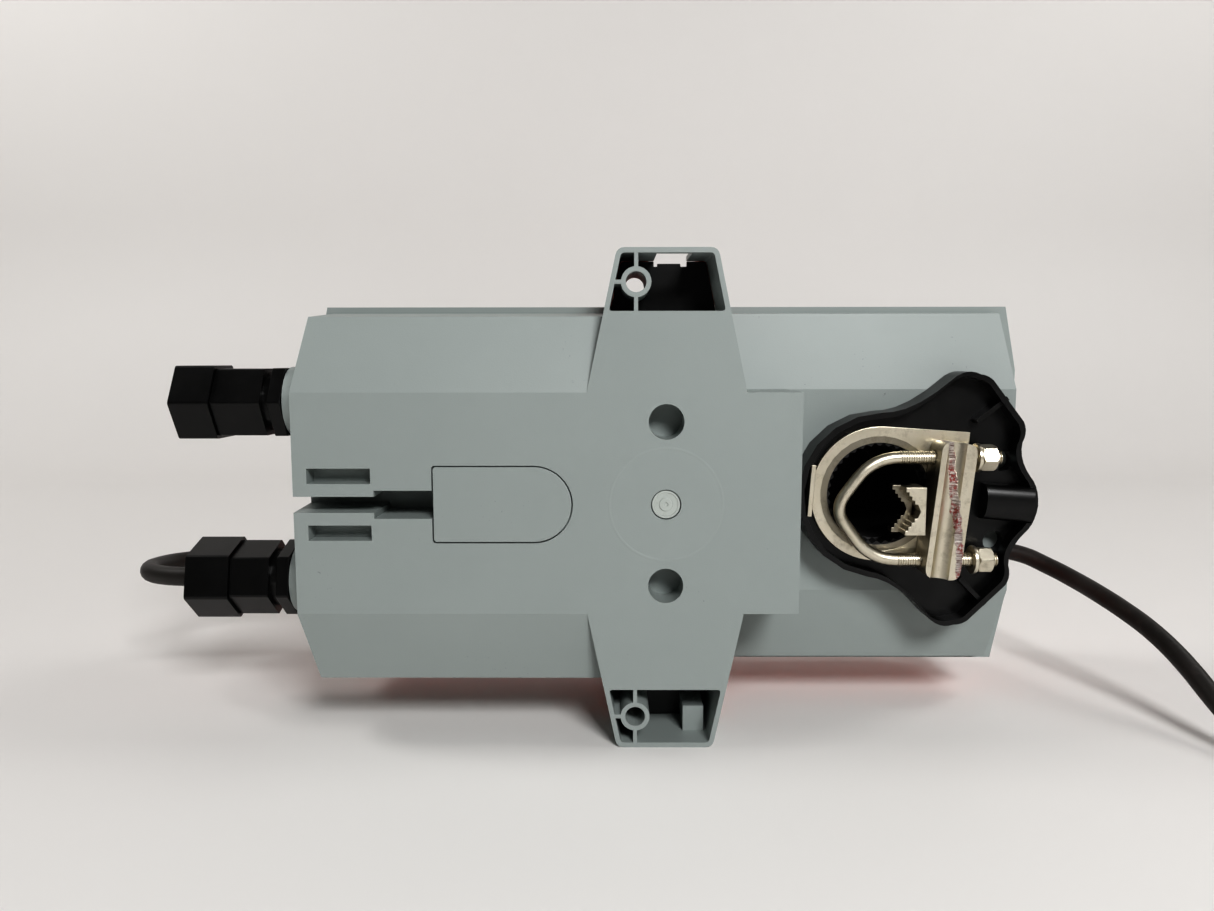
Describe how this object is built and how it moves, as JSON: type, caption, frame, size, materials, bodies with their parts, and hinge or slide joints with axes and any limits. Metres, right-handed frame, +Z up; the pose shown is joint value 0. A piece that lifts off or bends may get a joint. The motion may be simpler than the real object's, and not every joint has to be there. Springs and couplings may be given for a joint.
{
  "type": "motorized valve actuator",
  "caption": "Rotary spring-return valve actuator with a spindle clamp, crossbar ears, two cable glands and a lead; its geared drive turns the clamp a quarter turn",
  "frame": {"origin": "Middle of the footprint of the actuator without its lead, on the surface that its lower ear stands on", "axes": "+X along the body from the glands to the spindle clamp, +Y from the mounting face to the front cover, +Z up along the crossbar"},
  "size_m": [0.5889, 0.19, 0.1994],
  "materials": {
    "housing_grey": "satin",
    "cover_orange": "satin",
    "gland_black": "satin",
    "stop_black": "satin",
    "hub_black": "matte",
    "seal_rubber": "matte",
    "cable_jacket": "matte",
    "zinc_plate": "satin",
    "steel": "satin",
    "bearing_plastic": "satin",
    "plug_plastic": "satin",
    "board_green": "satin",
    "control_black": "satin",
    "wire_blue": "satin",
    "wire_brown": "satin"
  },
  "bodies": {
    "housing": {"rear_housing": "housing_grey", "front_cover": "cover_orange", "cover_gasket": "seal_rubber", "upper_ear_plate": "stop_black", "lower_ear_plate": "stop_black", "slot_cover": "housing_grey", "centre_plug": "plug_plastic", "cover_screw_1": "steel", "cover_screw_2": "steel", "cover_screw_3": "steel", "cover_screw_4": "steel", "cover_screw_5": "steel", "cover_screw_6": "steel", "upper_gland_body": "gland_black", "upper_gland_lock_nut": "gland_black", "upper_gland_seal": "seal_rubber", "lower_gland_body": "gland_black", "lower_gland_lock_nut": "gland_black", "lower_gland_seal": "seal_rubber", "rear_bush": "bearing_plastic", "front_bush": "bearing_plastic", "gear_plate": "steel", "idler_pin": "steel", "spring_drum": "steel", "mainspring": "steel", "motor": "steel", "circuit_board": "board_green", "terminal_block": "board_green", "cable": "cable_jacket", "cable_coil": "cable_jacket", "brown_conductor": "wire_brown", "blue_conductor": "wire_blue"},
    "drive_hub": {"hub": "hub_black", "spindle_cap": "control_black", "position_indicator": "control_black", "output_gear": "steel", "stop_piece": "stop_black", "clamp_plate": "zinc_plate", "v_bolt": "zinc_plate"},
    "clamp_slider": {"clamp_yoke": "zinc_plate", "clamp_jaw": "zinc_plate", "upper_washer": "zinc_plate", "lower_washer": "zinc_plate"},
    "upper_nut": {"upper_nut": "zinc_plate"},
    "lower_nut": {"lower_nut": "zinc_plate"},
    "idler": {"idler_gear": "steel"},
    "arbor": {"spring_arbor": "steel"},
    "motor_rotor": {"motor_pinion": "steel", "crank_socket": "control_black"},
    "lock_knob": {"lock_knob": "control_black"},
    "test_button": {"test_button": "control_black"},
    "upper_cap": {"upper_gland_cap": "gland_black"},
    "lower_cap": {"lower_gland_cap": "gland_black"}
  },
  "joints": [
    {"name": "hub_turn", "type": "hinge", "parent": "housing", "child": "drive_hub", "pos_m": [0.11587, -0.01575, 0.0997], "axis": [0, 1, 0], "range_deg": [-51.3, 43.7]},
    {"name": "idler_turn", "type": "hinge", "parent": "housing", "child": "idler", "pos_m": [0.03487, 0.01025, 0.0997], "axis": [0, 1, 0], "range_deg": [-55, 65]},
    {"name": "arbor_turn", "type": "hinge", "parent": "housing", "child": "arbor", "pos_m": [-0.04613, 0.01025, 0.0997], "axis": [0, 1, 0], "range_deg": [-52, 44]},
    {"name": "pinion_turn", "type": "hinge", "parent": "housing", "child": "motor_rotor", "pos_m": [0.03487, 0.01025, 0.1447], "axis": [0, 1, 0], "range_deg": [-257, 219]},
    {"name": "clamp_slide", "type": "slide", "parent": "drive_hub", "child": "clamp_slider", "axis": [-1, 0, 0], "range_m": [-0.001, 0.012]},
    {"name": "upper_nut_turn", "type": "hinge", "parent": "clamp_slider", "child": "upper_nut", "pos_m": [0.15837, -0.03425, 0.116], "axis": [1, 0, 0], "continuous": true},
    {"name": "lower_nut_turn", "type": "hinge", "parent": "clamp_slider", "child": "lower_nut", "pos_m": [0.15837, -0.03425, 0.0728], "axis": [1, 0, 0], "continuous": true},
    {"name": "upper_cap_turn", "type": "hinge", "parent": "housing", "child": "upper_cap", "pos_m": [-0.17413, -0.01475, 0.1387], "axis": [1, 0, 0], "continuous": true},
    {"name": "lower_cap_turn", "type": "hinge", "parent": "housing", "child": "lower_cap", "pos_m": [-0.17113, -0.01475, 0.0607], "axis": [1, 0, 0], "continuous": true},
    {"name": "lock_knob_turn", "type": "hinge", "parent": "housing", "child": "lock_knob", "pos_m": [-0.00013, 0.05025, 0.0597], "axis": [0, 1, 0], "range_deg": [0, 90]},
    {"name": "test_button_press", "type": "slide", "parent": "housing", "child": "test_button", "axis": [0, -1, 0], "range_m": [0, 0.0015], "stiffness_N_per_m": 300}
  ],
  "couplings": [
    {"joint": "idler_turn", "follows": "hub_turn", "ratio": -1.25},
    {"joint": "arbor_turn", "follows": "hub_turn", "ratio": 1},
    {"joint": "pinion_turn", "follows": "hub_turn", "ratio": 5}
  ]
}
